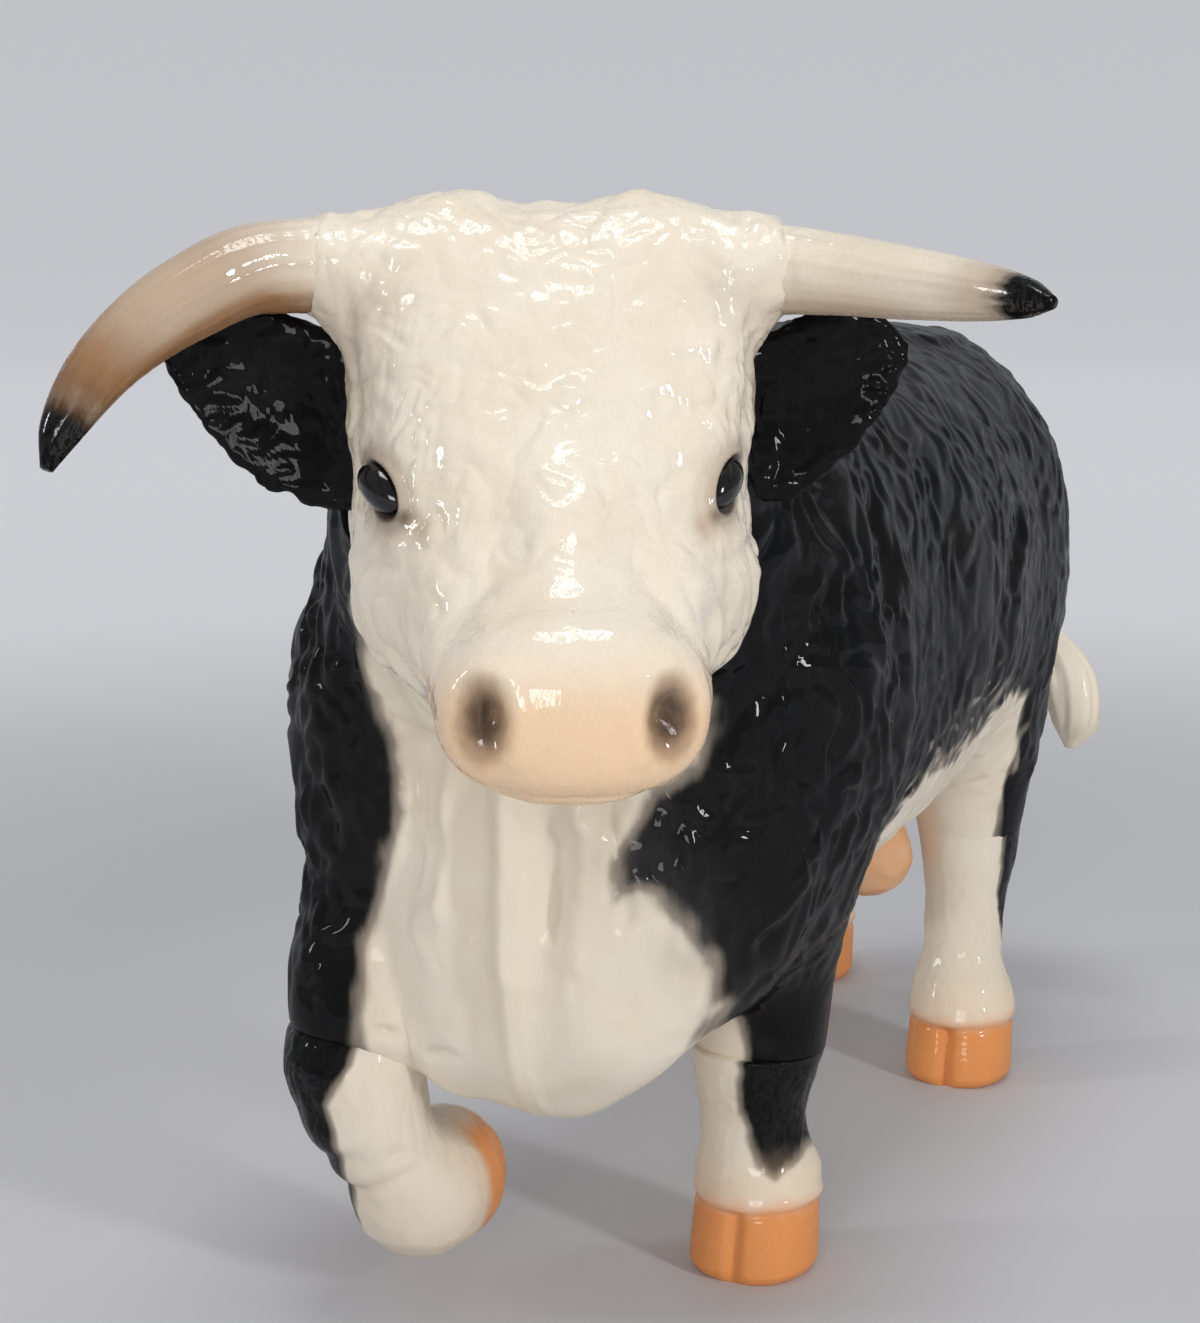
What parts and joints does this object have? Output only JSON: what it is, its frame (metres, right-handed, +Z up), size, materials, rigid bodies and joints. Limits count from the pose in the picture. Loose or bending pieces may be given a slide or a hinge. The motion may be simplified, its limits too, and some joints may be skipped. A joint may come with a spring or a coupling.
{
  "type": "bull figurine",
  "caption": "Hollow moulded horned bull figurine, walking with one foreleg raised, glued up from shells, legs, horns, ears and tail",
  "frame": {"origin": "centre of the bounding box, on the plane that the hooves stand on", "axes": "+Z up, the bull faces -Y, its left side is +X"},
  "size_m": [0.1274, 0.2736, 0.1764],
  "materials": {
    "black_and_white_coat": "glossy black paint with white chest, belly and leg markings over moulded hair",
    "white_face": "glossy cream white over curled hair relief, flesh coloured muzzle",
    "horn": "glossy cream with tan shading and black tip",
    "black_coat": "glossy black over moulded hair",
    "white_leg": "glossy cream with orange hooves and black streaks",
    "bare_skin": "glossy flesh colour"
  },
  "bodies": {
    "root": {"body_shell_left": "black_and_white_coat", "body_shell_right": "black_and_white_coat", "head_shell_left": "white_face", "head_shell_right": "white_face", "horn_left": "horn", "horn_right": "horn", "ear_left": "black_coat", "ear_right": "black_coat", "foreleg_left": "white_leg", "foreleg_right": "white_leg", "hind_leg_left": "white_leg", "hind_leg_right": "white_leg", "tail": "black_and_white_coat", "scrotum": "bare_skin"}
  },
  "joints": []
}
